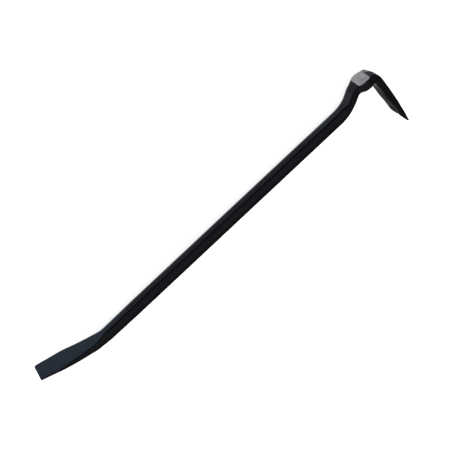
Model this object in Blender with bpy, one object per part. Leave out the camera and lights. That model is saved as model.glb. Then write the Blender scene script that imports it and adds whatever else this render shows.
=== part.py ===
# Gooseneck pry bar, lying on its side. Metres, Z up. The octagonal shank runs along X, with the claw
# end at +X. The chisel and the neck bend towards +Y and the claw hangs back towards -Y.
# The tool is one forging. Each object below is a length of it between two forging transitions.
import math

import bmesh
import bpy
from mathutils import Matrix, Vector

MM = 0.001
GAP = 0.3 * MM

# The octagonal bar
BAR_FLATS = 19.0 * MM
SHANK_LEFT = -214.0 * MM
SHANK_RIGHT = 204.2 * MM

# The chisel: how far along its upper face it reaches, how it bends and how it is drawn down
CHISEL_LENGTH = 99.5 * MM
CHISEL_STRAIGHT = 5.0 * MM
CHISEL_BEND_RADIUS = 90.0 * MM
CHISEL_TURN = math.radians(25.8)
CHISEL_SHOULDER = 38.0 * MM
CHISEL_PLATE = 7.0 * MM
CHISEL_EDGE = 1.5 * MM
CHISEL_WIDTH = 24.8 * MM
CHISEL_BELLY = 1.2 * MM
CHISEL_WAIST = 1.2 * MM
CHISEL_CORNER = 2.0 * MM
CHISEL_STATIONS = 18

# The gooseneck: a bend of the same bar, then a short straight rise to the head
NECK_RADIUS = 36.0 * MM
NECK_RISE = math.radians(45.0)
NECK_STRAIGHT = 14.5 * MM
NECK_SLIMMING = 0.93
NECK_STATIONS = 10

# The head: corners of its underside and of its top in side view, each with a rounding radius.
# It swells from the width of the neck to its full width and carries the striking pad.
HEAD_TOP = 30.3 * MM
HEAD_WIDTH = 25.2 * MM
HEAD_LOW_EDGE = 4.0 * MM
HEAD_TOP_EDGE = 1.6 * MM
CROWN_EDGE = (5.5 * MM, 8.5 * MM)
HEAD_STATIONS = 26
SHOULDER_X = 242.5 * MM
CROWN_X = 272.8 * MM
BACK_CORNER = (279.6 * MM, 16.0 * MM)
HEEL_LEVEL = 11.3 * MM
HEEL_LEFT = 252.0 * MM
HEEL_RIGHT = 261.0 * MM
THROAT = (267.6 * MM, 14.5 * MM)
PAD_LEFT = 246.0 * MM
PAD_RIGHT = 267.4 * MM
PAD_WIDTH = 23.4 * MM
PAD_THICKNESS = 1.5 * MM

# The claw: a tapering plate with a slot that makes two tines
CLAW_ROOT = (278.6 * MM, -5.0 * MM)
CLAW_HEADING = math.radians(-77.2)
CLAW_CAMBER = math.radians(-2.6)
CLAW_LENGTH = 100.6 * MM
CLAW_SOLID = 62.0 * MM
CLAW_THICK_ROOT = 10.4 * MM
CLAW_THICK_SLOT = 5.4 * MM
CLAW_THICK_TIP = 1.4 * MM
CLAW_WIDTH_TIP = 32.4 * MM
CLAW_CHAMFER = 1.2 * MM
SLOT_ROOT = 3.0 * MM
SLOT_MOUTH = 8.0 * MM
TIP_ROUNDING = 1.5 * MM
CLAW_STATIONS = 14

PAINT_COLOUR = (0.016, 0.016, 0.019, 1.0)
STEEL_COLOUR = (0.50, 0.50, 0.49, 1.0)


def clear_scene():
    for thing in list(bpy.data.objects):
        bpy.data.objects.remove(thing, do_unlink=True)
    for group in list(bpy.data.collections):
        bpy.data.collections.remove(group)


def new_collection(name):
    group = bpy.data.collections.new(name)
    bpy.context.scene.collection.children.link(group)
    return group


def new_material(name, colour, metallic, roughness):
    material = bpy.data.materials.new(name)
    material.use_nodes = True
    shader = material.node_tree.nodes["Principled BSDF"]
    shader.inputs["Base Color"].default_value = colour
    shader.inputs["Metallic"].default_value = metallic
    shader.inputs["Roughness"].default_value = roughness
    return material


def painted(name):
    return new_material(name, PAINT_COLOUR, 0.0, 0.35)


def ground_steel(name):
    return new_material(name, STEEL_COLOUR, 1.0, 0.38)


def place(mesh, name, group, material):
    mesh.materials.clear()
    mesh.materials.append(material)
    thing = bpy.data.objects.new(name, mesh)
    group.objects.link(thing)
    return thing


def mesh_from(maker, name):
    mesh = bpy.data.meshes.new(name)
    maker.to_mesh(mesh)
    maker.free()
    mesh.validate()
    return mesh


def octagon(upper, lower, half_width, top_cut, low_cut):
    # Eight corners as (towards the upper face, towards +Z), going round once. A cut is (across, down).
    return [
        (upper, top_cut[0] - half_width),
        (upper, half_width - top_cut[0]),
        (upper - top_cut[1], half_width),
        (lower + low_cut[1], half_width),
        (lower, half_width - low_cut[0]),
        (lower, low_cut[0] - half_width),
        (lower + low_cut[1], -half_width),
        (upper - top_cut[1], -half_width),
    ]


def mixed(first, second, share):
    return first + (second - first) * share


def eased(share):
    share = min(max(share, 0.0), 1.0)
    return share * share * (3.0 - 2.0 * share)


def loft(name, sections):
    # Each section is (point, heading, corners). The upper face is on the left of the heading
    # for a positive first number of a corner.
    maker = bmesh.new()
    rings = []
    for point, heading, corners in sections:
        left = Vector((-math.sin(heading), math.cos(heading), 0.0))
        base = Vector((point[0], point[1], 0.0))
        rings.append([maker.verts.new(base + left * a + Vector((0.0, 0.0, b))) for a, b in corners])
    count = len(rings[0])
    for first, second in zip(rings, rings[1:]):
        for k in range(count):
            after = (k + 1) % count
            maker.faces.new((first[k], first[after], second[after], second[k]))
    maker.faces.new(rings[0])
    maker.faces.new(rings[-1])
    bmesh.ops.recalc_face_normals(maker, faces=maker.faces)
    return mesh_from(maker, name)


def regular_cut(half):
    # The corner cut that makes all eight flats of a bar equal.
    return half * (1.0 - math.tan(math.pi / 8))


def walk(start, heading, straight, radius, turn, distance):
    # The point and heading at a distance along a straight, then an arc, then a straight.
    arc = radius * abs(turn)
    first = min(distance, straight)
    x = start[0] + first * math.cos(heading)
    y = start[1] + first * math.sin(heading)
    bent = min(max(distance - straight, 0.0), arc)
    angle = math.copysign(bent / radius, turn)
    side = math.copysign(1.0, turn)
    x += radius * side * (math.sin(heading + angle) - math.sin(heading))
    y -= radius * side * (math.cos(heading + angle) - math.cos(heading))
    last = max(distance - straight - arc, 0.0)
    heading += angle
    return (x + last * math.cos(heading), y + last * math.sin(heading)), heading


def chisel_thickness(distance):
    start = 0.04 * CHISEL_LENGTH
    drawn = min(max((distance - start) / (CHISEL_SHOULDER - start), 0.0), 1.0)
    shoulder = (BAR_FLATS - CHISEL_PLATE) * (1.0 - drawn) ** 1.6
    along = min(max((distance - CHISEL_SHOULDER) / (CHISEL_LENGTH - CHISEL_SHOULDER), 0.0), 1.0)
    plate = CHISEL_EDGE + (CHISEL_PLATE - CHISEL_EDGE) * (1.0 - along**1.6)
    return shoulder + plate


def chisel_half_width(distance):
    along = distance / CHISEL_LENGTH
    half = 0.5 * mixed(BAR_FLATS, CHISEL_WIDTH, eased(along / 0.55))
    half += 0.5 * CHISEL_BELLY * math.sin(math.pi * along) ** 2
    half -= 0.5 * CHISEL_WAIST * math.sin(math.pi * min(along / 0.3, 1.0)) ** 2
    past = distance - (CHISEL_LENGTH - CHISEL_CORNER)
    if past > 0.0:
        half -= CHISEL_CORNER - math.sqrt(max(CHISEL_CORNER**2 - past**2, 0.0))
    return half


def build_chisel(group):
    # The path runs along the upper face, so that face stays a clean curve while the lower one thins.
    name = "chisel_blade"
    top = (SHANK_LEFT - GAP, 0.5 * BAR_FLATS)
    body = CHISEL_LENGTH - CHISEL_CORNER
    stations = [body * (k / CHISEL_STATIONS) for k in range(CHISEL_STATIONS + 1)]
    stations += [body + CHISEL_CORNER * math.sin(math.radians(a)) for a in (30, 55, 75, 90)]
    sections = []
    for distance in stations:
        point, heading = walk(
            top, math.pi, CHISEL_STRAIGHT, CHISEL_BEND_RADIUS, -CHISEL_TURN, distance
        )
        thick = chisel_thickness(distance)
        faded = (1.0 - distance / CHISEL_LENGTH) ** 2.5
        across = max(regular_cut(0.5 * BAR_FLATS) * faded, 0.4 * MM)
        cut = (across, min(across, 0.3 * thick))
        half = chisel_half_width(distance)
        sections.append((point, heading, octagon(thick, 0.0, half, cut, cut)))
    return place(loft(name, sections), name, group, painted(name + "_paint"))


def build_shank(group):
    name = "shank"
    length = SHANK_RIGHT - SHANK_LEFT
    maker = bmesh.new()
    corner_radius = 0.5 * BAR_FLATS / math.cos(math.pi / 8)
    turned = Matrix.Rotation(math.pi / 2, 4, "Y") @ Matrix.Rotation(math.pi / 8, 4, "Z")
    moved = Matrix.Translation((0.5 * (SHANK_LEFT + SHANK_RIGHT), 0.0, 0.0))
    bmesh.ops.create_cone(
        maker,
        cap_ends=True,
        segments=8,
        radius1=corner_radius,
        radius2=corner_radius,
        depth=length,
        matrix=moved @ turned,
    )
    return place(mesh_from(maker, name), name, group, painted(name + "_paint"))


def neck_at(distance):
    return walk((SHANK_RIGHT + GAP, 0.0), 0.0, 0.0, NECK_RADIUS, NECK_RISE, distance)


def neck_half(distance):
    # The bar is drawn a little slimmer as it goes through the bend.
    drawn = eased(distance / (NECK_RADIUS * NECK_RISE))
    return 0.5 * BAR_FLATS * mixed(1.0, NECK_SLIMMING, drawn)


def build_neck(group):
    name = "gooseneck"
    arc = NECK_RADIUS * NECK_RISE
    stations = [arc * k / NECK_STATIONS for k in range(NECK_STATIONS + 1)] + [arc + NECK_STRAIGHT]
    sections = []
    for distance in stations:
        half = neck_half(distance)
        cut = (regular_cut(half), regular_cut(half))
        sections.append((*neck_at(distance), octagon(half, -half, half, cut, cut)))
    return place(loft(name, sections), name, group, painted(name + "_paint"))


def claw_at(distance):
    radius = CLAW_LENGTH / abs(CLAW_CAMBER)
    return walk(CLAW_ROOT, CLAW_HEADING, 0.0, radius, CLAW_CAMBER, distance)


def claw_thickness(distance):
    if distance < CLAW_SOLID:
        along = (distance / CLAW_SOLID) ** 1.3
        return mixed(CLAW_THICK_ROOT, CLAW_THICK_SLOT, along)
    along = (distance - CLAW_SOLID) / (CLAW_LENGTH - CLAW_SOLID)
    return mixed(CLAW_THICK_SLOT, CLAW_THICK_TIP, along**1.5)


def claw_half_width(distance):
    return 0.5 * mixed(HEAD_WIDTH, CLAW_WIDTH_TIP, eased(distance / (0.55 * CLAW_LENGTH)))


def rounded(corners, steps=6):
    # Each corner is (x, y, radius). Gives the open line through them with every corner rounded.
    found = [Vector(corners[0][:2])]
    for before, corner, after in zip(corners, corners[1:], corners[2:]):
        here = Vector(corner[:2])
        radius = corner[2]
        back = (Vector(before[:2]) - here).normalized()
        ahead = (Vector(after[:2]) - here).normalized()
        half_angle = 0.5 * back.angle(ahead)
        centre = here + (back + ahead).normalized() * radius / math.sin(half_angle)
        first = here + back * radius / math.tan(half_angle) - centre
        last = here + ahead * radius / math.tan(half_angle) - centre
        spread = first.angle(last)
        for step in range(steps + 1):
            share = step / steps
            one = first * math.sin((1.0 - share) * spread)
            other = last * math.sin(share * spread)
            found.append(centre + (one + other) / math.sin(spread))
    found.append(Vector(corners[-1][:2]))
    return found


def spaced(line, count):
    # Points at equal distances along a line.
    lengths = [0.0]
    for a, b in zip(line, line[1:]):
        lengths.append(lengths[-1] + (b - a).length)
    found = []
    k = 0
    for step in range(count + 1):
        wanted = lengths[-1] * step / count
        while k < len(line) - 2 and lengths[k + 1] < wanted:
            k += 1
        share = (wanted - lengths[k]) / (lengths[k + 1] - lengths[k])
        found.append(line[k].lerp(line[k + 1], min(max(share, 0.0), 1.0)))
    return found


def head_lines():
    # The underside and the top in side view, from the neck round to the root of the claw.
    end, heading = neck_at(NECK_RADIUS * NECK_RISE + NECK_STRAIGHT + GAP)
    left = Vector((-math.sin(heading), math.cos(heading)))
    half = neck_half(NECK_RADIUS)
    outward = Vector((-math.sin(CLAW_HEADING), math.cos(CLAW_HEADING)))
    outer = Vector(CLAW_ROOT) + outward * 0.5 * CLAW_THICK_ROOT
    inner = Vector(CLAW_ROOT) - outward * 0.5 * CLAW_THICK_ROOT
    seat = HEAD_TOP - PAD_THICKNESS - GAP
    low = rounded(
        [
            (*(Vector(end) - left * half), 0.0),
            (HEEL_LEFT, HEEL_LEVEL, 5.0 * MM),
            (HEEL_RIGHT, HEEL_LEVEL, 5.0 * MM),
            (*THROAT, 3.0 * MM),
            (*inner, 0.0),
        ]
    )
    high = rounded(
        [
            (*(Vector(end) + left * half), 0.0),
            (SHOULDER_X, seat, 9.0 * MM),
            (CROWN_X, seat, 4.0 * MM),
            (*BACK_CORNER, 30.0 * MM),
            (*outer, 0.0),
        ]
    )
    return spaced(low, HEAD_STATIONS), spaced(high, HEAD_STATIONS)


def build_head(group):
    # Sections fan round the throat, each from a point of the underside to one of the top.
    name = "claw_head"
    low, high = head_lines()
    sections = []
    for k, (foot, crown) in enumerate(zip(low, high)):
        along = k / HEAD_STATIONS
        across = crown - foot
        heading = math.atan2(-across.x, across.y)
        swell = eased(along / 0.34)
        half = mixed(neck_half(NECK_RADIUS), 0.5 * HEAD_WIDTH, swell)
        start = regular_cut(neck_half(NECK_RADIUS))
        crowned = eased((along - 0.46) / 0.16)
        past = eased((along - 0.66) / 0.34)
        top = [
            mixed(mixed(mixed(start, HEAD_TOP_EDGE, swell), edge, crowned), CLAW_CHAMFER, past)
            for edge in CROWN_EDGE
        ]
        low_edge = mixed(mixed(start, HEAD_LOW_EDGE, swell), CLAW_CHAMFER, eased(along / 0.5 - 1.0))
        corners = octagon(across.length, 0.0, half, top, (low_edge, low_edge))
        sections.append((foot, heading, corners))
    return place(loft(name, sections), name, group, painted(name + "_paint"))


def build_pad(group):
    name = "striking_face"
    maker = bmesh.new()
    centre = (0.5 * (PAD_LEFT + PAD_RIGHT), HEAD_TOP - 0.5 * PAD_THICKNESS, 0.0)
    stretch = Matrix.Diagonal((0.5 * (PAD_RIGHT - PAD_LEFT), 0.5 * PAD_WIDTH, 1.0, 1.0))
    turned = Matrix.Rotation(-math.pi / 2, 4, "X")
    bmesh.ops.create_cone(
        maker,
        cap_ends=True,
        segments=32,
        radius1=1.0,
        radius2=1.0,
        depth=PAD_THICKNESS,
        matrix=Matrix.Translation(centre) @ turned @ stretch,
    )
    return place(mesh_from(maker, name), name, group, ground_steel(name + "_steel"))


def build_claw(group):
    name = "claw_plate"
    sections = []
    for k in range(CLAW_STATIONS + 1):
        distance = GAP + (CLAW_SOLID - GAP) * k / CLAW_STATIONS
        point, heading = claw_at(distance)
        half = 0.5 * claw_thickness(distance)
        cut = (CLAW_CHAMFER, CLAW_CHAMFER)
        corners = octagon(half, -half, claw_half_width(distance), cut, cut)
        sections.append((point, heading, corners))
    return place(loft(name, sections), name, group, painted(name + "_paint"))


def build_tine(group, name, side):
    # The inner side follows the slot, and the outer side the edge of the plate with a rounded tip.
    sections = []
    start = CLAW_SOLID + GAP
    reach = CLAW_LENGTH - start
    for k in range(CLAW_STATIONS + 1):
        distance = start + reach * k / CLAW_STATIONS
        point, heading = claw_at(distance)
        half = 0.5 * claw_thickness(distance)
        outer = claw_half_width(distance)
        past = distance - (CLAW_LENGTH - TIP_ROUNDING)
        if past > 0.0:
            outer -= TIP_ROUNDING - math.sqrt(max(TIP_ROUNDING**2 - past**2, 0.0))
        inner = 0.5 * mixed(SLOT_ROOT, SLOT_MOUTH, (distance - start) / reach)
        middle = 0.5 * (outer + inner)
        across = 0.5 * (outer - inner)
        edge = min(CLAW_CHAMFER, 0.6 * half)
        corners = octagon(half, -half, across, (edge, edge), (edge, edge))
        sections.append((point, heading, [(a, b + side * middle) for a, b in corners]))
    return place(loft(name, sections), name, group, painted(name + "_paint"))


def settle(group):
    # Centres the tool over the origin, lying with its lowest point on the floor.
    corners = [vertex.co for thing in group.objects for vertex in thing.data.vertices]
    low = [min(corner[axis] for corner in corners) for axis in range(3)]
    high = [max(corner[axis] for corner in corners) for axis in range(3)]
    shift = Vector((-0.5 * (low[0] + high[0]), -0.5 * (low[1] + high[1]), -low[2]))
    for thing in group.objects:
        thing.data.transform(Matrix.Translation(shift))


def main():
    clear_scene()
    group = new_collection("pry_bar")
    build_chisel(group)
    build_shank(group)
    build_neck(group)
    build_head(group)
    build_pad(group)
    build_claw(group)
    build_tine(group, "claw_tine_left", 1.0)
    build_tine(group, "claw_tine_right", -1.0)
    settle(group)


main()
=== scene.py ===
import math

import bmesh
import bpy
from mathutils import Matrix, Vector, noise


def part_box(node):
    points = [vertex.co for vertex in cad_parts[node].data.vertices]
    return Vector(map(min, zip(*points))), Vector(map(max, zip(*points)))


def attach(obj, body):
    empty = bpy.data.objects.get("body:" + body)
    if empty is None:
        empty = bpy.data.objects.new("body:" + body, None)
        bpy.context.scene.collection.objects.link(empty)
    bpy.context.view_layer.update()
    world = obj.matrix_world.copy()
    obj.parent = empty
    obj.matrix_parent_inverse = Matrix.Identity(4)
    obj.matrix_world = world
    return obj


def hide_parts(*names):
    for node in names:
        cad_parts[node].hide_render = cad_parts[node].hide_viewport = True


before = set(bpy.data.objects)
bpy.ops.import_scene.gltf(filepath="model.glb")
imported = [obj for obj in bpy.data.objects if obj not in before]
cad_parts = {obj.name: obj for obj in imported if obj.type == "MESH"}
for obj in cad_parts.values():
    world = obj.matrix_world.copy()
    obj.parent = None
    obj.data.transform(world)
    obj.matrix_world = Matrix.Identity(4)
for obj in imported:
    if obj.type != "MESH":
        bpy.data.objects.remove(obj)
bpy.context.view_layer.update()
scene = bpy.context.scene
mm = 0.001

# The bar's own lines: u runs along the octagonal bar towards the claw, n is the side that the neck
# rises to, and s is up off the floor. Every shape below is given as (u, n, s) from this origin.
barLow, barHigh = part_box("shank")
barEnds = {"left": -214.0 * mm, "right": 204.2 * mm}
barMiddle = 0.5 * (barLow + barHigh)
toolOrigin = Vector((barHigh.x - barEnds["right"], barMiddle.y, barMiddle.z))
# Half the clearance between two CAD nodes, which the looks close up
halfGap = 0.5 * (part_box("gooseneck")[0].x - barHigh.x)
print("frame loaded, bar axis at", [round(v, 4) for v in toolOrigin])


# Camera, floor and light

cameraPlan = {
    "target": Vector((2.64, 29.91, 17.55)) * mm,
    "distance": 827.5 * mm,
    "elevation": math.radians(35.3),
    "roll": math.radians(136.88),
    "lens": 49.52,
    "sensor": 36.0,
    "clip": (0.01, 60.0),
}


def makeCamera(plan):
    data = bpy.data.cameras.new("camera")
    data.lens = plan["lens"]
    data.sensor_width = plan["sensor"]
    data.clip_start, data.clip_end = plan["clip"]
    thing = bpy.data.objects.new("camera", data)
    scene.collection.objects.link(thing)
    back = Vector((0.0, math.cos(plan["elevation"]), math.sin(plan["elevation"])))
    thing.rotation_mode = "QUATERNION"
    level = back.to_track_quat("Z", "Y")
    thing.rotation_quaternion = level @ Matrix.Rotation(plan["roll"], 3, "Z").to_quaternion()
    thing.location = plan["target"] + back * plan["distance"]
    scene.camera = thing


def addNode(tree, kind, inputs=None, **settings):
    node = tree.nodes.new(kind)
    for name, value in settings.items():
        setattr(node, name, value)
    for key, value in (inputs or {}).items():
        if isinstance(value, bpy.types.NodeSocket):
            tree.links.new(value, node.inputs[key])
        else:
            node.inputs[key].default_value = value
    return node


def addGroup(tree, group, inputs):
    return addNode(tree, "ShaderNodeGroup", inputs, node_tree=group).outputs


def mathNode(tree, operation, first, second=0.0, clamp=False):
    inputs = {0: first, 1: second}
    return addNode(tree, "ShaderNodeMath", inputs, operation=operation, use_clamp=clamp).outputs[0]


def ranged(tree, value, low, high, newLow=0.0, newHigh=1.0, smooth=False):
    kind = "SMOOTHSTEP" if smooth else "LINEAR"
    inputs = {"Value": value, "From Min": low, "From Max": high}
    inputs.update({"To Min": newLow, "To Max": newHigh})
    return addNode(tree, "ShaderNodeMapRange", inputs, interpolation_type=kind).outputs["Result"]


def noiseNode(tree, vector, scale, detail=3.0, roughness=0.5, distortion=0.0):
    inputs = {"Vector": vector, "Scale": scale, "Detail": detail}
    inputs.update({"Roughness": roughness, "Distortion": distortion})
    return addNode(tree, "ShaderNodeTexNoise", inputs).outputs["Fac"]


def mixColour(tree, share, first, second):
    node = addNode(tree, "ShaderNodeMix", data_type="RGBA")
    for socket, value in ((0, share), (6, first), (7, second)):
        if isinstance(value, bpy.types.NodeSocket):
            tree.links.new(value, node.inputs[socket])
        else:
            node.inputs[socket].default_value = value
    return node.outputs[2]


def toMesh(maker, name):
    mesh = bpy.data.meshes.new(name)
    maker.to_mesh(mesh)
    maker.free()
    return mesh


floorPlan = {
    "radius": 14.0,
    "segments": 96,
    "colour": (0.86, 0.86, 0.86, 1.0),
    "tint": (0.83, 0.83, 0.835, 1.0),
    "cloudScale": 1.3,
    "roughness": 0.9,
    "glow": 0.86,
    "shine": 2.3,
    "shineSpan": (-0.3, 0.3),
    "paintedReflectionTones": [  # place along the tool, tone
        (-0.235, (0.66, 0.85, 1.0, 1.0)),
        (-0.165, (0.49, 0.46, 0.50, 1.0)),
        (0.150, (0.50, 0.48, 0.52, 1.0)),
        (0.200, (0.70, 0.72, 0.80, 1.0)),
        (0.225, (0.60, 0.61, 0.63, 1.0)),
    ],
    # What is left of the painted reflection behind and beyond the tool, as painted shade, and where
    # it fades, from the bar's axis
    "behind": 0.23,
    "behindFade": (-0.04, 0.01),
    "beyond": 0.12,
    "beyondFade": (0.055, 0.15),
}


def makeFloor(plan):
    # In reflections the table glows cooler, as a painted reflection on the tool, with painted shade
    # behind the tool and further out in front.
    maker = bmesh.new()
    circle = {"segments": plan["segments"], "radius": plan["radius"]}
    bmesh.ops.create_circle(maker, cap_ends=True, **circle)
    mesh = toMesh(maker, "studioFloor")
    material = bpy.data.materials.new("paleTable")
    material.use_nodes = True
    tree = material.node_tree
    shader = tree.nodes["Principled BSDF"]
    place = addNode(tree, "ShaderNodeTexCoord").outputs["Object"]
    cloud = noiseNode(tree, place, plan["cloudScale"])
    colour = mixColour(tree, cloud, plan["tint"], plan["colour"])
    tree.links.new(colour, shader.inputs["Base Color"])
    shader.inputs["Roughness"].default_value = plan["roughness"]
    shader.inputs["Specular IOR Level"].default_value = 0.0
    shader.inputs["Emission Color"].default_value = (1.0, 1.0, 1.0, 1.0)
    shader.inputs["Emission Strength"].default_value = plan["glow"]
    parts = addNode(tree, "ShaderNodeSeparateXYZ", {0: place})
    fades = [toolOrigin.y + reach for reach in plan["behindFade"] + plan["beyondFade"]]
    near = ranged(tree, parts.outputs["Y"], *fades[:2], plan["behind"], 1.0, smooth=True)
    far = ranged(tree, parts.outputs["Y"], *fades[2:], 1.0, plan["beyond"], smooth=True)
    level = mathNode(tree, "MULTIPLY", mathNode(tree, "MULTIPLY", near, far), plan["shine"])
    left, right = plan["shineSpan"]
    ramp = addNode(tree, "ShaderNodeValToRGB", {0: ranged(tree, parts.outputs["X"], left, right)})
    stops = ramp.color_ramp
    while len(stops.elements) < len(plan["paintedReflectionTones"]):
        stops.elements.new(0.5)
    for stop, (where, tone) in zip(stops.elements, plan["paintedReflectionTones"]):
        stop.position = (where - left) / (right - left)
        stop.color = tone
    # Painted reflection: a glow that only glossy rays see, tinted by place along the tool.
    paintedReflection = addNode(tree, "ShaderNodeEmission", {"Color": ramp.outputs[0], "Strength": level})
    seen = addNode(tree, "ShaderNodeLightPath").outputs["Is Glossy Ray"]
    either = {0: seen, 1: shader.outputs[0], 2: paintedReflection.outputs[0]}
    both = addNode(tree, "ShaderNodeMixShader", either)
    tree.links.new(both.outputs[0], tree.nodes["Material Output"].inputs["Surface"])
    mesh.materials.append(material)
    thing = bpy.data.objects.new("studioFloor", mesh)
    scene.collection.objects.link(thing)


skyPlan = {
    "colour": (1.16, 0.98, 1.0, 1.0),
    "backdrop": 1.15,
    "overhead": 0.83,
    "low": 0.02,  # what is left of the light low down
    "front": (0.50, 0.84),  # the ceiling starts and is full at these sines of its elevation
    "back": (0.15, 0.60),
    "backShare": 0.25,
    "turn": (-0.75, 0.25),  # from the back to the front
    "clawTurn": (0.25, 0.90),
    "clawSide": 0.60,
}


def makeSky(plan):
    # A soft studio ceiling: dark low down, brighter overhead on the side that the tool faces.
    world = bpy.data.worlds.new("studioSky")
    world.use_nodes = True
    tree = world.node_tree
    way = addNode(tree, "ShaderNodeTexCoord").outputs["Generated"]
    parts = addNode(tree, "ShaderNodeSeparateXYZ", {0: way})
    low, backShare = plan["low"], plan["backShare"]
    front = ranged(tree, parts.outputs["Z"], *plan["front"], low, 1.0, smooth=True)
    back = ranged(tree, parts.outputs["Z"], *plan["back"], low, backShare, smooth=True)
    facing = ranged(tree, parts.outputs["Y"], *plan["turn"], smooth=True)
    front = mathNode(tree, "MULTIPLY", front, facing)
    back = mathNode(tree, "MULTIPLY", back, mathNode(tree, "SUBTRACT", 1.0, facing))
    both = mathNode(tree, "ADD", front, back)
    levels = plan["overhead"], plan["overhead"] * plan["clawSide"]
    side = ranged(tree, parts.outputs["X"], *plan["clawTurn"], *levels)
    ceiling = mathNode(tree, "MULTIPLY", both, side)
    seen = addNode(tree, "ShaderNodeLightPath").outputs["Is Camera Ray"]
    level = ranged(tree, seen, 0.0, 1.0, ceiling, plan["backdrop"])
    shader = tree.nodes["Background"]
    tree.links.new(level, shader.inputs["Strength"])
    shader.inputs["Color"].default_value = plan["colour"]
    scene.world = world


keyPlan = {"strength": 0.6, "spread": math.radians(80.0), "lean": math.radians(20.0)}


def makeKey(plan):
    data = bpy.data.lights.new("softKey", "SUN")
    data.energy = plan["strength"]
    data.angle = plan["spread"]
    thing = bpy.data.objects.new("softKey", data)
    thing.rotation_euler = (-plan["lean"], 0.0, 0.0)
    thing.visible_glossy = False
    scene.collection.objects.link(thing)


makeCamera(cameraPlan)
makeFloor(floorPlan)
makeSky(skyPlan)
makeKey(keyPlan)
scene.view_settings.view_transform = "Standard"
print("camera, floor and light made")


# Finishes. The groups hold what the three paints share.


def newGroup(name, inputs, outputs):
    tree = bpy.data.node_groups.new(name, "ShaderNodeTree")
    for label, kind, value in inputs:
        socket = tree.interface.new_socket(label, in_out="INPUT", socket_type=kind)
        if value is not None:
            socket.default_value = value
    for label, kind in outputs:
        tree.interface.new_socket(label, in_out="OUTPUT", socket_type=kind)
    start = tree.nodes.new("NodeGroupInput")
    end = tree.nodes.new("NodeGroupOutput")
    return tree, start.outputs, end.inputs


grainPlan = {
    "pitBand": (0.56, 0.68),
    "peelShare": 0.12,
    "cloudScale": 0.45,  # as a share of the dents' scale
    "cloudBand": (0.3, 0.7),
}


def makeForgeGrain(plan):
    # Broad unevenness from the hammer, scale pits and the fine peel of sprayed paint.
    tree, given, put = newGroup(
        "forgeGrain",
        [
            ("Place", "NodeSocketVector", None),
            ("Dent Scale", "NodeSocketFloat", 90.0),
            ("Pit Scale", "NodeSocketFloat", 420.0),
            ("Peel Scale", "NodeSocketFloat", 1500.0),
            ("Pits", "NodeSocketFloat", 0.3),
        ],
        [("Height", "NodeSocketFloat"), ("Cloud", "NodeSocketFloat")],
    )
    place = given["Place"]
    dents = noiseNode(tree, place, given["Dent Scale"], detail=2.0, roughness=0.4)
    pits = noiseNode(tree, place, given["Pit Scale"], roughness=0.55, distortion=0.4)
    peel = noiseNode(tree, place, given["Peel Scale"], detail=1.0)
    pits = ranged(tree, pits, *plan["pitBand"], smooth=True)
    dropped = mathNode(tree, "MULTIPLY", pits, given["Pits"])
    height = mathNode(tree, "SUBTRACT", dents, dropped)
    height = mathNode(tree, "ADD", height, mathNode(tree, "MULTIPLY", peel, plan["peelShare"]))
    tree.links.new(height, put["Height"])
    cloudScale = mathNode(tree, "MULTIPLY", given["Dent Scale"], plan["cloudScale"])
    cloud = noiseNode(tree, place, cloudScale, detail=4.0, roughness=0.6)
    tree.links.new(ranged(tree, cloud, *plan["cloudBand"]), put["Cloud"])
    return tree


wearPlan = {"wornBand": (0.80, 0.92), "rubbedBand": (0.25, 0.80)}


def makeEdgeWear(plan):
    # Where paint has rubbed through: only on an arris, broken up by noise.
    tree, given, put = newGroup(
        "edgeWear",
        [
            ("Place", "NodeSocketVector", None),
            ("Arris", "NodeSocketFloat", 0.0),
            ("Amount", "NodeSocketFloat", 0.2),
            ("Fleck Scale", "NodeSocketFloat", 300.0),
        ],
        [("Worn", "NodeSocketFloat"), ("Rubbed", "NodeSocketFloat")],
    )
    flecks = noiseNode(tree, given["Place"], given["Fleck Scale"], detail=4.0, roughness=0.65)
    flecks = mathNode(tree, "ADD", flecks, given["Amount"])
    reach = mathNode(tree, "MULTIPLY", given["Arris"], flecks)
    tree.links.new(ranged(tree, reach, *plan["wornBand"], smooth=True), put["Worn"])
    tree.links.new(ranged(tree, reach, *plan["rubbedBand"], smooth=True), put["Rubbed"])
    return tree


forgeGrain = makeForgeGrain(grainPlan)
edgeWear = makeEdgeWear(wearPlan)

wornSteel = (0.10, 0.10, 0.10, 1.0)
paintDeep = (0.0015, 0.0016, 0.0021, 1.0)
paintFaded = (0.0030, 0.0031, 0.0039, 1.0)
paintSheen = (0.74, 0.82, 1.0, 1.0)
rubbedPolish = 0.05  # how much less rough a rubbed arris is
paintLooks = {
    "barPaint": {
        "gloss": 0.17,
        "roughness": (0.21, 0.28),
        "dentScale": 60.0,
        "pits": 0.15,
        "wear": 0.10,
        "bump": 0.12 * mm,
    },
    "forgedPaint": {
        "gloss": 0.18,
        "roughness": (0.25, 0.34),
        "dentScale": 110.0,
        "pits": 0.35,
        "wear": 0.16,
        "bump": 0.22 * mm,
    },
    "clawPaint": {
        "gloss": 0.16,
        "roughness": (0.42, 0.54),
        "dentScale": 130.0,
        "pits": 0.40,
        "wear": 0.18,
        "bump": 0.22 * mm,
    },
}


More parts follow.
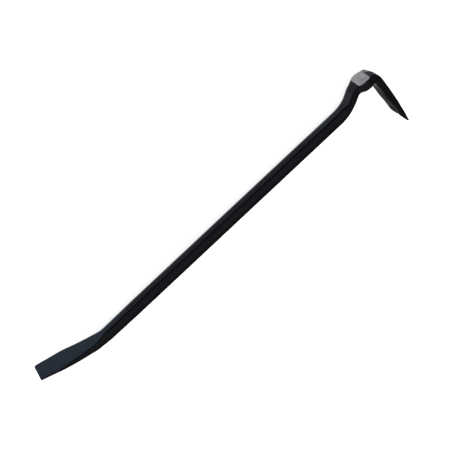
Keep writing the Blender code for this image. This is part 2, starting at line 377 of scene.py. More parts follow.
def makePaint(name):
    look = paintLooks[name]
    material = bpy.data.materials.new(name)
    material.use_nodes = True
    tree = material.node_tree
    shader = tree.nodes["Principled BSDF"]
    place = addNode(tree, "ShaderNodeTexCoord").outputs["Object"]
    arris = addNode(tree, "ShaderNodeAttribute", attribute_name="arris").outputs["Fac"]
    forged = {"Place": place, "Dent Scale": look["dentScale"], "Pits": look["pits"]}
    grain = addGroup(tree, forgeGrain, forged)
    rub = addGroup(tree, edgeWear, {"Place": place, "Arris": arris, "Amount": look["wear"]})
    coat = mixColour(tree, grain["Cloud"], paintDeep, paintFaded)
    tree.links.new(mixColour(tree, rub["Worn"], coat, wornSteel), shader.inputs["Base Color"])
    tree.links.new(rub["Worn"], shader.inputs["Metallic"])
    dull = ranged(tree, grain["Cloud"], 0.0, 1.0, *look["roughness"])
    polish = mathNode(tree, "MULTIPLY", rub["Rubbed"], rubbedPolish)
    dull = mathNode(tree, "SUBTRACT", dull, polish, clamp=True)
    tree.links.new(dull, shader.inputs["Roughness"])
    bump = {"Height": grain["Height"], "Distance": look["bump"], "Strength": 1.0}
    lift = addNode(tree, "ShaderNodeBump", bump)
    tree.links.new(lift.outputs["Normal"], shader.inputs["Normal"])
    shader.inputs["Specular IOR Level"].default_value = look["gloss"]
    shader.inputs["Specular Tint"].default_value = paintSheen
    return material


steelLook = {
    "bright": (0.30, 0.30, 0.295, 1.0),
    "dark": (0.16, 0.16, 0.16, 1.0),
    "paint": (0.004, 0.004, 0.0045, 1.0),
    "lineScale": 900.0,
    "lineShare": 0.6,
    "stretch": (0.05, 1.0, 1.0),
    "turn": math.radians(32.0),
    "blotchScale": 160.0,
    "blotchShare": 0.4,
    "toneBand": (0.35, 0.65),
    "roughBand": (0.3, 0.7),
    "roughness": (0.52, 0.38),
    "raggedScale": 500.0,
    "raggedShare": 0.5,
    "paintBand": (1.16, 1.26),
    "grooves": 0.05 * mm,
}


def makeGroundSteel(name, look):
    # Fine lines from the grinding wheel, with a ragged border where the paint starts.
    material = bpy.data.materials.new(name)
    material.use_nodes = True
    tree = material.node_tree
    shader = tree.nodes["Principled BSDF"]
    place = addNode(tree, "ShaderNodeTexCoord").outputs["Object"]
    turn = {"Vector": place, "Rotation": (0.0, look["turn"], 0.0)}
    turned = addNode(tree, "ShaderNodeMapping", turn).outputs[0]
    along = {0: turned, 1: look["stretch"]}
    along = addNode(tree, "ShaderNodeVectorMath", along, operation="MULTIPLY").outputs[0]
    lines = noiseNode(tree, along, look["lineScale"], detail=4.0, roughness=0.7)
    blotch = noiseNode(tree, place, look["blotchScale"])
    border = addNode(tree, "ShaderNodeAttribute", attribute_name="border").outputs["Fac"]
    ragged = noiseNode(tree, place, look["raggedScale"], roughness=0.6)
    ragged = mathNode(tree, "MULTIPLY", ragged, look["raggedShare"])
    ragged = mathNode(tree, "ADD", border, ragged)
    left = ranged(tree, ragged, *look["paintBand"], smooth=True)
    lined = mathNode(tree, "MULTIPLY", lines, look["lineShare"])
    blotched = mathNode(tree, "MULTIPLY", blotch, look["blotchShare"])
    tone = mathNode(tree, "ADD", lined, blotched)
    bare = mixColour(tree, ranged(tree, tone, *look["toneBand"]), look["dark"], look["bright"])
    tree.links.new(mixColour(tree, left, bare, look["paint"]), shader.inputs["Base Color"])
    tree.links.new(mathNode(tree, "SUBTRACT", 1.0, left), shader.inputs["Metallic"])
    dull = ranged(tree, tone, *look["roughBand"], *look["roughness"])
    tree.links.new(dull, shader.inputs["Roughness"])
    bump = {"Height": lines, "Distance": look["grooves"], "Strength": 1.0}
    lift = addNode(tree, "ShaderNodeBump", bump)
    tree.links.new(lift.outputs["Normal"], shader.inputs["Normal"])
    return material


barPaint = makePaint("barPaint")
forgedPaint = makePaint("forgedPaint")
clawPaint = makePaint("clawPaint")
groundSteel = makeGroundSteel("groundSteel", steelLook)
print("finishes made")


# Shapes

sideCount = 8
sideTurn = math.pi / sideCount  # half the angle that one flat of the octagon spans


def mixed(first, second, share):
    return first + (second - first) * share


def eased(share):
    share = min(max(share, 0.0), 1.0)
    return share * share * (3.0 - 2.0 * share)


def evenCut(half):
    # The corner cut that makes all eight flats of a bar equal.
    return half * (1.0 - math.tan(sideTurn))


def leftOf(heading):
    return Vector((-math.sin(heading), math.cos(heading)))


def octagon(upper, near, far, topNear, topFar, low):
    # Eight corners as (towards the upper face, towards the near side). Each cut is (across, down).
    return [
        (upper, topFar[0] - far),
        (upper, near - topNear[0]),
        (upper - topNear[1], near),
        (low[1], near),
        (0.0, near - low[0]),
        (0.0, low[0] - far),
        (low[1], -far),
        (upper - topFar[1], -far),
    ]


ringPlan = {"arcSteps": 6, "flatSteps": 2, "mostRounded": 0.46}  # the last is a share of a flat


def softRing(corners, rounding):
    # Rounds each corner and gives (points, how near each point is to the middle of an arris).
    corners = [Vector(corner) for corner in corners]
    most = ringPlan["mostRounded"]
    starts, ends = [], []
    for k, here in enumerate(corners):
        back = corners[k - 1] - here
        ahead = corners[(k + 1) % sideCount] - here
        starts.append(here + back.normalized() * min(rounding[k], most * back.length))
        ends.append(here + ahead.normalized() * min(rounding[k], most * ahead.length))
    ring = []
    for k, here in enumerate(corners):
        for step in range(ringPlan["arcSteps"] + 1):
            share = step / ringPlan["arcSteps"]
            bend = (starts[k] * (1 - share) + here * share) * (1 - share)
            bend += (here * (1 - share) + ends[k] * share) * share
            ring.append((bend, 4.0 * share * (1.0 - share)))
        following = starts[(k + 1) % sideCount]
        for step in range(1, ringPlan["flatSteps"] + 1):
            share = step / (ringPlan["flatSteps"] + 1)
            ring.append((ends[k].lerp(following, share), 0.0))
    return ring


def skin(maker, rings):
    # Joins rings of equally many points and closes both ends.
    count = len(rings[0])
    for first, second in zip(rings, rings[1:]):
        for k in range(count):
            after = (k + 1) % count
            maker.faces.new((first[k], first[after], second[after], second[k]))
    maker.faces.new(rings[0])
    maker.faces.new(rings[-1])
    bmesh.ops.recalc_face_normals(maker, faces=maker.faces)


hammerSize = 14.0 * mm


def loft(sections, uneven=0.0):
    # Each section is (point, heading, corners, rounding, its share of the hammer's unevenness).
    maker = bmesh.new()
    layer = maker.verts.layers.float.new("arris")
    rings = []
    for point, heading, corners, rounding, share in sections:
        left = leftOf(heading).to_3d()
        base = toolOrigin + Vector((point[0], point[1], 0.0))
        soft = softRing(corners, rounding)
        middle = sum((place for place, _ in soft), Vector((0.0, 0.0))) / len(soft)
        ring = []
        for place, near in soft:
            spot = base + left * place.x + Vector((0.0, 0.0, place.y))
            outward = place - middle
            if uneven * share:
                outward.normalize()
                shift = uneven * share * noise.noise(spot / hammerSize)
                spot = spot + (left * outward.x + Vector((0.0, 0.0, outward.y))) * shift
            vertex = maker.verts.new(spot)
            vertex[layer] = near
            ring.append(vertex)
        rings.append(ring)
    skin(maker, rings)
    return maker


def finishPiece(mesh, name, material, replaced, sharpAngle=50.0):
    mesh.validate()
    mesh.polygons.foreach_set("use_smooth", [True] * len(mesh.polygons))
    mesh.set_sharp_from_angle(angle=math.radians(sharpAngle))
    mesh.materials.clear()
    mesh.materials.append(material)
    thing = bpy.data.objects.new(name, mesh)
    scene.collection.objects.link(thing)
    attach(thing, "root")
    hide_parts(replaced)
    print(name, len(mesh.polygons), "faces")


def walk(start, heading, straight, radius, turn, distance):
    # The point and heading at a distance along a straight, then an arc, then a straight.
    arc = radius * abs(turn)
    first = min(distance, straight)
    x = start[0] + first * math.cos(heading)
    y = start[1] + first * math.sin(heading)
    bent = min(max(distance - straight, 0.0), arc)
    angle = math.copysign(bent / radius, turn)
    side = math.copysign(1.0, turn)
    x += radius * side * (math.sin(heading + angle) - math.sin(heading))
    y -= radius * side * (math.cos(heading + angle) - math.cos(heading))
    last = max(distance - straight - arc, 0.0)
    heading += angle
    return Vector((x + last * math.cos(heading), y + last * math.sin(heading))), heading


# The shank: an octagonal profile swept along the bar. It is drawn in a little towards the chisel.

barShape = {
    "Across Flats": 19.7 * mm,
    "Arris Radius": 3.8 * mm,
    "Arris Steps": 7,
    "Flat Cuts": 1,
    "Waviness": 0.05 * mm,
    "Wave Scale": 45.0,
    "Seed": 3.0,
}
arrisBand = (1.02, 1.05)  # distance from the bar's middle, in half widths, where an arris starts
shankShape = {"waist": 0.955, "ease": 55.0 * mm, "step": 2.5 * mm}


def makeBarTree(material):
    tree = bpy.data.node_groups.new("octagonalBar", "GeometryNodeTree")
    tree.interface.new_socket("Path", in_out="INPUT", socket_type="NodeSocketGeometry")
    for label, value in barShape.items():
        kind = "NodeSocketInt" if isinstance(value, int) else "NodeSocketFloat"
        tree.interface.new_socket(label, in_out="INPUT", socket_type=kind)
    tree.interface.new_socket("Bar", in_out="OUTPUT", socket_type="NodeSocketGeometry")
    given = tree.nodes.new("NodeGroupInput").outputs
    put = tree.nodes.new("NodeGroupOutput").inputs

    # The profile: an eight-sided ring, turned so that flats face up and sideways, then rounded.
    reach = mathNode(tree, "MULTIPLY", given["Across Flats"], 0.5 / math.cos(sideTurn))
    eight = {"Resolution": sideCount, "Radius": reach}
    ring = addNode(tree, "GeometryNodeCurvePrimitiveCircle", eight)
    turn = {"Geometry": ring.outputs[0], "Rotation": (0.0, 0.0, sideTurn)}
    turned = addNode(tree, "GeometryNodeTransform", turn)
    fillet = {"Curve": turned.outputs[0], "Limit Radius": True}
    fillet.update({"Count": given["Arris Steps"], "Radius": given["Arris Radius"]})
    soft = addNode(tree, "GeometryNodeFilletCurve", fillet, mode="POLY")
    cuts = {"Curve": soft.outputs[0], "Cuts": given["Flat Cuts"]}
    cut = addNode(tree, "GeometryNodeSubdivideCurve", cuts)
    spot = addNode(tree, "GeometryNodeInputPosition").outputs[0]
    away = addNode(tree, "ShaderNodeVectorMath", {0: spot}, operation="LENGTH").outputs["Value"]
    flatReach = mathNode(tree, "MULTIPLY", given["Across Flats"], 0.5)
    away = mathNode(tree, "DIVIDE", away, flatReach)
    arris = ranged(tree, away, *arrisBand, smooth=True)
    marked = {"Geometry": cut.outputs[0], "Name": "arris", "Value": arris}
    kind = {"data_type": "FLOAT", "domain": "POINT"}
    profile = addNode(tree, "GeometryNodeStoreNamedAttribute", marked, **kind)

    # The flats stay level, because the path takes straight up as its normal.
    line = addNode(tree, "GeometryNodeMeshToCurve", {"Mesh": given["Path"]})
    upright = addNode(tree, "GeometryNodeSetCurveNormal", {"Curve": line.outputs[0]}, mode="Z_UP")
    slim = addNode(tree, "GeometryNodeInputNamedAttribute", {"Name": "slim"}, data_type="FLOAT")
    swept = {"Curve": upright.outputs[0], "Profile Curve": profile.outputs[0]}
    swept.update({"Scale": slim.outputs[0], "Fill Caps": True})
    bar = addNode(tree, "GeometryNodeCurveToMesh", swept)

    # Rolled bar isn't dead straight, so the skin moves in and out by a few hundredths of a mm.
    shifted = {"Vector": spot, "W": given["Seed"], "Scale": given["Wave Scale"], "Detail": 1.0}
    wave = addNode(tree, "ShaderNodeTexNoise", shifted, noise_dimensions="4D").outputs["Fac"]
    push = mathNode(tree, "MULTIPLY", mathNode(tree, "SUBTRACT", wave, 0.5), given["Waviness"])
    normal = addNode(tree, "GeometryNodeInputNormal").outputs["Normal"]
    offset = addNode(tree, "ShaderNodeVectorMath", {0: normal, "Scale": push}, operation="SCALE")
    moved = {"Geometry": bar.outputs[0], "Offset": offset.outputs[0]}
    uneven = addNode(tree, "GeometryNodeSetPosition", moved)
    real = addNode(tree, "GeometryNodeRealizeInstances", {"Geometry": uneven.outputs[0]})
    coated = {"Geometry": real.outputs[0], "Material": material}
    painted = addNode(tree, "GeometryNodeSetMaterial", coated)
    tree.links.new(painted.outputs[0], put["Bar"])
    return tree


def sweepBar(name, path, tree):
    # path is a list of (point, slimming). The result is a plain mesh, placed by its vertices.
    guide = bpy.data.meshes.new(name + "Path")
    points = [toolOrigin + Vector((point.x, point.y, 0.0)) for point, _ in path]
    guide.from_pydata(points, [(k, k + 1) for k in range(len(points) - 1)], [])
    slim = guide.attributes.new("slim", "FLOAT", "POINT")
    slim.data.foreach_set("value", [share for _, share in path])
    helper = bpy.data.objects.new(name + "Path", guide)
    scene.collection.objects.link(helper)
    sweep = helper.modifiers.new("octagonalBar", "NODES")
    sweep.node_group = tree
    for item in tree.interface.items_tree:
        if item.name in barShape:
            sweep[item.identifier] = barShape[item.name]
    graph = bpy.context.evaluated_depsgraph_get()
    mesh = bpy.data.meshes.new_from_object(helper.evaluated_get(graph))
    bpy.data.objects.remove(helper)
    mesh.name = name
    return mesh


def makeShank(shape):
    start = barEnds["left"] - halfGap
    length = barEnds["right"] + halfGap - start
    steps = round(length / shape["step"])
    path = []
    for k in range(steps + 1):
        along = length * k / steps
        slimming = mixed(shape["waist"], 1.0, eased(along / shape["ease"]))
        path.append((Vector((start + along, 0.0)), slimming))
    return sweepBar("shankBar", path, makeBarTree(barPaint))


finishPiece(makeShank(shankShape), "shankBar", barPaint, "shank")


# The gooseneck: the bar bends up to the head, and is hammered out square on its upper near arris.

neckShape = {
    "lead": 0.2 * mm,
    "radius": 39.0 * mm,
    "rise": math.radians(48.0),
    "straight": 6.0 * mm,
    "slimming": 0.93,
    "squareCut": 0.9 * mm,
    "squareFrom": 11.0 * mm,
    "squareOver": 19.0 * mm,
    "squareSoft": 1.2,  # rounding as a share of the cut
    "uneven": 0.08 * mm,
    "unevenOver": 8.0 * mm,
    "stations": 60,
}
neckArc = neckShape["radius"] * neckShape["rise"]
neckLength = neckShape["lead"] + neckArc + neckShape["straight"]


def neckAt(distance):
    start = (barEnds["right"] + halfGap, 0.0)
    return walk(start, 0.0, neckShape["lead"], neckShape["radius"], neckShape["rise"], distance)


def neckHalf(distance):
    drawn = eased(distance / neckArc)
    return 0.5 * barShape["Across Flats"] * mixed(1.0, neckShape["slimming"], drawn)


def neckNearCut(distance):
    even = evenCut(neckHalf(distance))
    squared = eased((distance - neckShape["squareFrom"]) / neckShape["squareOver"])
    return mixed(even, neckShape["squareCut"], squared)


def makeNeck(shape):
    soft = math.tan(sideTurn) * barShape["Arris Radius"]
    sections = []
    for k in range(shape["stations"] + 1):
        distance = neckLength * k / shape["stations"]
        point, heading = neckAt(distance)
        half = neckHalf(distance)
        even = evenCut(half)
        near = neckNearCut(distance)
        corners = octagon(2.0 * half, half, half, (near, near), (even, even), (even, even))
        rounding = [soft] * sideCount
        rounding[1] = rounding[2] = min(soft, shape["squareSoft"] * near)
        foot = point - leftOf(heading) * half
        sections.append((foot, heading, corners, rounding, eased(distance / shape["unevenOver"])))
    return toMesh(loft(sections, shape["uneven"]), "gooseneckBend")


finishPiece(makeNeck(neckShape), "gooseneckBend", barPaint, "gooseneck")


# The chisel: drawn down from the octagon to a thin blade, bent to the side that the neck rises to.

chiselShape = {
    "length": 99.2 * mm,
    "straight": 5.0 * mm,
    "bendRadius": 90.0 * mm,
    "turn": math.radians(25.8),
    "nearCorner": 0.8 * mm,
    "farCorner": 3.0 * mm,
    "arris": (1.8 * mm, 0.6 * mm),
    "arrisOver": 60.0 * mm,
    "uneven": 0.10 * mm,
    "unevenOver": 15.0 * mm,
    "stations": 100,
    "cornerSteps": 9,
    # distance, thickness, near half, far half, near cut (across, down), far cut (across, down),
    # low cut
    "table": [
        (0.0, 18.80, 9.40, 9.40, 5.50, 5.50, 5.50, 5.50, 5.50),
        (5.0, 18.0, 9.30, 9.05, 4.50, 5.20, 4.80, 4.90, 5.00),
        (10.0, 16.3, 9.60, 9.25, 3.60, 4.90, 3.60, 3.70, 4.40),
        (15.0, 14.3, 10.2, 9.70, 3.20, 4.60, 2.60, 2.60, 3.80),
        (20.0, 12.5, 11.0, 10.4, 3.40, 4.40, 2.10, 2.00, 3.00),
        (25.0, 10.5, 11.5, 11.0, 3.70, 4.30, 1.80, 1.70, 2.40),
        (30.0, 8.40, 11.9, 11.6, 4.10, 4.20, 1.50, 1.40, 1.80),
        (40.0, 6.10, 12.6, 12.6, 4.10, 4.00, 1.20, 1.00, 1.20),
        (50.0, 5.40, 13.1, 13.3, 3.80, 3.70, 1.00, 0.90, 1.00),
        (60.0, 5.00, 13.4, 13.9, 2.80, 2.80, 0.90, 0.80, 0.90),
        (70.0, 4.50, 13.2, 13.6, 1.20, 1.20, 0.70, 0.60, 0.80),
        (80.0, 3.80, 12.8, 13.2, 0.60, 0.60, 0.60, 0.50, 0.70),
        (90.0, 3.00, 12.4, 12.8, 0.55, 0.45, 0.50, 0.40, 0.60),
        (99.5, 2.00, 12.2, 12.4, 0.50, 0.40, 0.50, 0.40, 0.50),
    ],
}


def fromTable(table, distance):
    # A smooth curve through the rows: its slope at a row is that between the rows either side.
    k = 0
    while k < len(table) - 2 and distance > table[k + 1][0]:
        k += 1
    first, second = table[k], table[k + 1]
    before, after = table[max(k - 1, 0)], table[min(k + 2, len(table) - 1)]
    span = second[0] - first[0]
    share = min(max((distance - first[0]) / span, 0.0), 1.0)
    values = []
    for column in range(1, len(first)):
        slopeIn = (second[column] - before[column]) / (second[0] - before[0]) * span
        slopeOut = (after[column] - first[column]) / (after[0] - first[0]) * span
        a, b = first[column], second[column]
        value = a + share * slopeIn + share**2 * (3 * (b - a) - 2 * slopeIn - slopeOut)
        values.append(value + share**3 * (2 * (a - b) + slopeIn + slopeOut))
    return values


def cornerLoss(corner, past):
    return corner - math.sqrt(max(corner**2 - past**2, 0.0)) if past > 0.0 else 0.0


def makeChisel(shape):
    # The path runs along the upper face and faces away from the bar, so the left of it is down.
    top = (barEnds["left"] - halfGap, 0.5 * barShape["Across Flats"] * shankShape["waist"])
    bend = (shape["straight"], shape["bendRadius"], -shape["turn"])
    corner = shape["farCorner"]
    body = shape["length"] + halfGap - corner
    stops = [body * k / shape["stations"] for k in range(shape["stations"] + 1)]
    for k in range(1, shape["cornerSteps"] + 1):
        stops.append(body + corner * math.sin(0.5 * math.pi * k / shape["cornerSteps"]))
    sections = []
    for distance in stops:
        point, heading = walk(top, math.pi, *bend, distance)
        row = [value * mm for value in fromTable(shape["table"], distance / mm)]
        thick, near, far, nearAcross, nearDown, farAcross, farDown, low = row
        near -= cornerLoss(shape["nearCorner"], distance - body - corner + shape["nearCorner"])
        far -= cornerLoss(corner, distance - body)
        corners = octagon(thick, near, far, (low, low), (low, low), (nearAcross, nearDown))
        corners[5] = (0.0, farAcross - far)
        corners[6] = (farDown, -far)
        rounding = [mixed(*shape["arris"], eased(distance / shape["arrisOver"]))] * sideCount
        share = eased(distance / shape["unevenOver"])
        sections.append((point, heading, corners, rounding, share))
    return toMesh(loft(sections, shape["uneven"]), "chiselBlade")


finishPiece(makeChisel(chiselShape), "chiselBlade", forgedPaint, "chisel_blade")


# The head: a fan of sections round the throat, from the neck to the claw's root, then ground flat
# on top for striking. A corner of its side view is (u, n, rounding), and a cut is (across, down).

headShape = {
    "top": 30.3 * mm,
    "width": 25.2 * mm,
    "shoulderFoot": (234.18 * mm, 27.26 * mm, 9.0 * mm),
    "shoulder": (251.0 * mm, 31.2 * mm, 9.0 * mm),
    "crown": (262.0 * mm, 31.2 * mm, 10.0 * mm),
    "crownEnd": (273.4 * mm, 28.0 * mm, 3.5 * mm),
    "back": (279.6 * mm, 16.0 * mm, 30.0 * mm),
    "neckUnder": (247.2 * mm, 14.4 * mm, 4.0 * mm),
    "heelLeft": (253.0 * mm, 11.6 * mm, 5.0 * mm),
    "heelRight": (262.0 * mm, 10.9 * mm, 5.0 * mm),
    "throat": (268.2 * mm, 14.3 * mm, 3.0 * mm),
    "nearCut": (2.8 * mm, 10.0 * mm),
    "nearBulge": 3.2 * mm,
    "farCut": (2.6 * mm, 4.3 * mm),
    "crownNear": (2.4 * mm, 9.0 * mm),
    "crownFar": (14.0 * mm, 4.8 * mm),
    "crownFrom": 257.0 * mm,  # the far corner of the crown slants away between these two
    "crownTo": 273.0 * mm,
    "lowCut": 4.0 * mm,
    "arris": (1.4 * mm, 1.6 * mm),
    # Where a change starts along the top of the head and how long it takes
    "swell": (3.0 * mm, 24.0 * mm),
    "cutChange": (3.0 * mm, 20.0 * mm),
    "lowChange": (38.0 * mm, 36.0 * mm),
    "clawChange": (49.0 * mm, 24.0 * mm),
    "bulgeIn": (8.0 * mm, 10.0 * mm),
    "bulgeOut": (27.0 * mm, 14.0 * mm),
    "unevenIn": (0.0, 8.0 * mm),
    "unevenOut": (65.0 * mm, 10.0 * mm),
    "uneven": 0.15 * mm,
    "stations": 110,
    "padDepth": 0.8 * mm,
    # The ground flat from its border inwards: size, how near the border it counts as
    "padRings": [(1.0, 1.0), (0.97, 0.8), (0.92, 0.5), (0.8, 0.0), (0.5, 0.0), (0.2, 0.0)],
}
# The claw's sizes stand here too, because the head runs into its root.
clawShape = {
    "root": (278.6 * mm, -5.0 * mm),
    "heading": math.radians(-77.2),
    "camber": math.radians(-2.2),
    "length": 101.9 * mm,
    "solid": 62.0 * mm,
    "thickRoot": 10.4 * mm,
    "thickSlot": 5.0 * mm,
    "thickTip": 1.4 * mm,
    "widthTip": 32.4 * mm,
    "chamfer": 1.2 * mm,
    "innerCut": (4.2 * mm, 3.6 * mm),
    "innerEase": 22.0 * mm,
    "innerSoft": 1.8 * mm,
    # distance, metal added to the inner face
    "fuller": [
        (0.0, -0.6),
        (15.0, 0.8),
        (30.0, 1.7),
        (50.0, 1.9),
        (70.0, 2.3),
        (90.0, 2.5),
        (102.5, 0.8),
    ],
    "solidTaper": 1.3,
    "tineTaper": 1.5,
    "flare": 0.55,  # the share of its length over which the claw widens
    "arris": 0.8 * mm,
    "slotRadius": 1.3 * mm,
    "slotMouth": 8.4 * mm,
    "slotEase": 4.0 * mm,
    "leastEase": 0.01,
    "bevelShare": 0.3,
    "tipRounding": 1.5 * mm,
    "uneven": 0.12 * mm,
    "unevenOver": 10.0 * mm,
    "plateStations": 55,
    "tineStations": 70,
}


def rounded(corners, steps=10):
    # Each corner is (x, y, radius). Gives the open line through them with every corner rounded.
    found = [Vector(corners[0][:2])]
    for before, corner, after in zip(corners, corners[1:], corners[2:]):
        here = Vector(corner[:2])
        back = (Vector(before[:2]) - here).normalized()
        ahead = (Vector(after[:2]) - here).normalized()
        half = 0.5 * back.angle(ahead)
        centre = here + (back + ahead).normalized() * corner[2] / math.sin(half)
        first = here + back * corner[2] / math.tan(half) - centre
        last = here + ahead * corner[2] / math.tan(half) - centre
        spread = first.angle(last)
        for step in range(steps + 1):
            share = step / steps
            turned = first * math.sin((1.0 - share) * spread) + last * math.sin(share * spread)
            found.append(centre + turned / math.sin(spread))
    found.append(Vector(corners[-1][:2]))
    return found


def spaced(line, count):
    # Points at equal distances along a line, each with its distance.
    lengths = [0.0]
    for first, second in zip(line, line[1:]):
        lengths.append(lengths[-1] + (second - first).length)
    found = []
    k = 0
    for step in range(count + 1):
        wanted = lengths[-1] * step / count
        while k < len(line) - 2 and lengths[k + 1] < wanted:
            k += 1
        share = (wanted - lengths[k]) / (lengths[k + 1] - lengths[k])
        found.append((line[k].lerp(line[k + 1], min(max(share, 0.0), 1.0)), wanted))
    return found


def change(along, span):
    # 0 before the span and 1 after it. The span is (start, length).
    return eased((along - span[0]) / span[1])


def headSections(shape):
    end, heading = neckAt(neckLength)
    start = neckHalf(neckLength)
    neckSide = leftOf(heading) * start
    even = evenCut(start)
    root = Vector(clawShape["root"])
    rootSide = 0.5 * clawShape["thickRoot"] * leftOf(clawShape["heading"])
    under = [shape[name] for name in ("neckUnder", "heelLeft", "heelRight", "throat")]
    over = [shape[name] for name in ("shoulderFoot", "shoulder", "crown", "crownEnd", "back")]
    low = [(*(end - neckSide), 0.0), *under, (*(root - rootSide), 0.0)]
    high = [(*(end + neckSide), 0.0), *over, (*(root + rootSide), 0.0)]
    feet = spaced(rounded(low), shape["stations"])
    crowns = spaced(rounded(high), shape["stations"])
    chamfer = clawShape["chamfer"]
    crownSpan = (shape["crownFrom"], shape["crownTo"] - shape["crownFrom"])
    sections = []
    for (foot, _), (crown, along) in zip(feet, crowns):
        across = crown - foot
        facing = math.atan2(-across.x, across.y)
        swell = change(along, shape["swell"])
        half = mixed(start, 0.5 * shape["width"], swell)
        slanted = min(max((crown.x - crownSpan[0]) / crownSpan[1], 0.0), 1.0)
        past = change(along, shape["clawChange"])
        cuts = []
        for begin, plain, crowned in (
            (neckNearCut(neckLength), "nearCut", "crownNear"),
            (even, "farCut", "crownFar"),
        ):
            cut = [mixed(begin, size, change(along, shape["cutChange"])) for size in shape[plain]]
            cut = [mixed(cut[k], shape[crowned][k], slanted) for k in (0, 1)]
            cuts.append([mixed(size, chamfer, past) for size in cut])
        lowCut = mixed(even, shape["lowCut"], swell)
        lowCut = mixed(lowCut, chamfer, change(along, shape["lowChange"]))
        arris = mixed(mixed(*shape["arris"], swell), clawShape["arris"], past)
        corners = octagon(across.length, half, half, *cuts, (lowCut, lowCut))
        bulge = change(along, shape["bulgeIn"]) * (1.0 - change(along, shape["bulgeOut"]))
        corners[2] = (corners[2][0], half + shape["nearBulge"] * bulge)
        share = change(along, shape["unevenIn"]) * (1.0 - change(along, shape["unevenOut"]))
        sections.append((foot, facing, corners, [arris] * sideCount, share))
    return sections


def makeHead(shape):
    maker = loft(headSections(shape), shape["uneven"])
    level = toolOrigin + Vector((0.0, shape["top"], 0.0))
    everything = maker.verts[:] + maker.edges[:] + maker.faces[:]
    plane = {"plane_co": level, "plane_no": (0.0, 1.0, 0.0), "clear_outer": True}
    cut = bmesh.ops.bisect_plane(maker, geom=everything, **plane)
    rim = [part for part in cut["geom_cut"] if isinstance(part, bmesh.types.BMEdge)]
    cap = bmesh.ops.contextual_create(maker, geom=rim)["faces"]
    outline = [vertex.co.copy() for vertex in cap[0].verts]
    # The ground flat sits in a shallow recess, so that its border is the edge of the paint.
    walls = bmesh.ops.extrude_face_region(maker, geom=cap)
    moved = [part for part in walls["geom"] if isinstance(part, bmesh.types.BMVert)]
    bmesh.ops.translate(maker, verts=moved, vec=(0.0, -shape["padDepth"], 0.0))
    bmesh.ops.delete(maker, geom=cap, context="FACES_ONLY")
    bmesh.ops.recalc_face_normals(maker, faces=maker.faces)
    return toMesh(maker, "clawHead"), outline


def makePad(outline, shape):
    # Rings shrink from the border to the middle, so the border can carry what paint is left.
    # The first ring is the underside, on the bottom of the recess.
    maker = bmesh.new()
    layer = maker.verts.layers.float.new("border")
    middle = sum(outline, Vector()) / len(outline)
    rows = [(1.0, 0.0, -shape["padDepth"])]
    rows += [(size, border, 0.0) for size, border in shape["padRings"]]
    rings = []
    for size, border, drop in rows:
        ring = []
        for point in outline:
            spot = middle + (point - middle) * size + Vector((0.0, drop, 0.0))
            vertex = maker.verts.new(spot)
            vertex[layer] = border
            ring.append(vertex)
        rings.append(ring)
    skin(maker, rings)
    return toMesh(maker, "strikingFlat")


headMesh, padOutline = makeHead(headShape)
finishPiece(headMesh, "clawHead", forgedPaint, "claw_head")
padMesh = makePad(padOutline, headShape)
finishPiece(padMesh, "strikingFlat", groundSteel, "striking_face", sharpAngle=30.0)


# The claw: a tapering plate, then two tines either side of the nail slot.


def clawAt(distance):
    radius = clawShape["length"] / abs(clawShape["camber"])
    return walk(clawShape["root"], clawShape["heading"], 0.0, radius, clawShape["camber"], distance)


def clawThickness(distance):
    solid = clawShape["solid"]
    if distance < solid:
        along = (distance / solid) ** clawShape["solidTaper"]
        return mixed(clawShape["thickRoot"], clawShape["thickSlot"], along)
    along = ((distance - solid) / (clawShape["length"] - solid)) ** clawShape["tineTaper"]
    return mixed(clawShape["thickSlot"], clawShape["thickTip"], along)


def clawHalf(distance):
    widened = eased(distance / (clawShape["flare"] * clawShape["length"]))
    return 0.5 * mixed(headShape["width"], clawShape["widthTip"], widened)


def clawFuller(distance):
    # How much more metal there is on the inner face than the taper alone gives.
    return fromTable(clawShape["fuller"], distance / mm)[0] * mm


def clawInnerCut(distance, thick):
    ease = eased(distance / clawShape["innerEase"])
    full = [mixed(clawShape["chamfer"], cut, ease) for cut in clawShape["innerCut"]]
    share = min(1.0, 0.5 * thick / full[1])
    return full[0] * share, full[1] * share


def clawSection(distance, near, far, nearCut, farCut, nearLow, farLow, rounding, share):
    # The section is measured from its inner face.
    point, heading = clawAt(distance)
    thick = clawThickness(distance) + clawFuller(distance)
    foot = point - leftOf(heading) * (0.5 * clawThickness(distance) + clawFuller(distance))
    corners = octagon(thick, near, far, nearCut, farCut, nearLow)
    corners[5] = (0.0, farLow[0] - far)
    corners[6] = (farLow[1], -far)
    return foot, heading, corners, rounding, share


def clawRounding(distance, near=1.0, far=1.0):
    # Softer on the inner face. near and far are what is left of it on those sides.
    plain = clawShape["arris"]
    soft = mixed(plain, clawShape["innerSoft"], eased(distance / clawShape["innerEase"]))
    sizes = (plain, plain, plain, soft, soft, soft, soft, plain)
    sides = (far, near, near, near, near, far, far, far)
    return [size * side for size, side in zip(sizes, sides)]


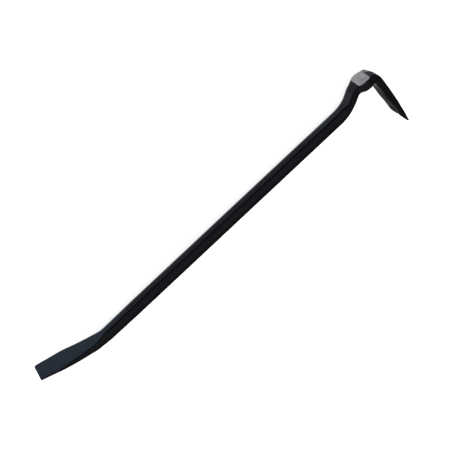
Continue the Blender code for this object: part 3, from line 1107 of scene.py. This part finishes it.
def makePlate(shape):
    reach = shape["solid"] + halfGap
    cut = (shape["chamfer"], shape["chamfer"])
    fade = shape["unevenOver"]
    sections = []
    for k in range(shape["plateStations"] + 1):
        distance = reach * k / shape["plateStations"]
        half = clawHalf(distance)
        inner = clawInnerCut(distance, clawThickness(distance) + clawFuller(distance))
        sides = (half, half, cut, cut, inner, inner)
        share = eased(distance / fade) * (1.0 - eased((distance - reach + fade) / fade))
        sections.append(clawSection(distance, *sides, clawRounding(distance), share))
    return toMesh(loft(sections, shape["uneven"]), "clawPlate")


def makeTine(name, side, shape):
    # Its slot side follows a round root and then widens to the mouth. Sections crowd at both ends.
    start = shape["solid"] + halfGap
    reach = shape["length"] - start
    radius = shape["slotRadius"]
    sections = []
    for k in range(shape["tineStations"] + 1):
        share = 0.5 * (1.0 - math.cos(math.pi * k / shape["tineStations"]))
        distance = start + reach * share
        past = distance - start
        opening = min(past / radius, 1.0)
        inner = radius * math.sqrt(max(1.0 - (1.0 - opening) ** 2, 0.0))
        inner = mixed(inner, 0.5 * shape["slotMouth"], share)
        tip = distance - (shape["length"] - shape["tipRounding"])
        outer = clawHalf(distance) - cornerLoss(shape["tipRounding"], tip)
        thick = clawThickness(distance) + clawFuller(distance)
        bevel = min(shape["chamfer"], shape["bevelShare"] * thick)
        low = clawInnerCut(distance, thick)
        fade = max(eased(past / shape["slotEase"]), shape["leastEase"])
        slotCut = (bevel * fade, bevel * fade)
        if side == "upper":
            sides = (outer, -inner, (bevel, bevel), slotCut, low, slotCut)
            rounding = clawRounding(distance, far=fade)
        else:
            sides = (-inner, outer, slotCut, (bevel, bevel), slotCut, low)
            rounding = clawRounding(distance, near=fade)
        sections.append(clawSection(distance, *sides, rounding, 0.0))
    return toMesh(loft(sections), name)


finishPiece(makePlate(clawShape), "clawPlate", clawPaint, "claw_plate")
for name, side, node in (
    ("upperTine", "upper", "claw_tine_left"),
    ("lowerTine", "lower", "claw_tine_right"),
):
    finishPiece(makeTine(name, side, clawShape), name, clawPaint, node)
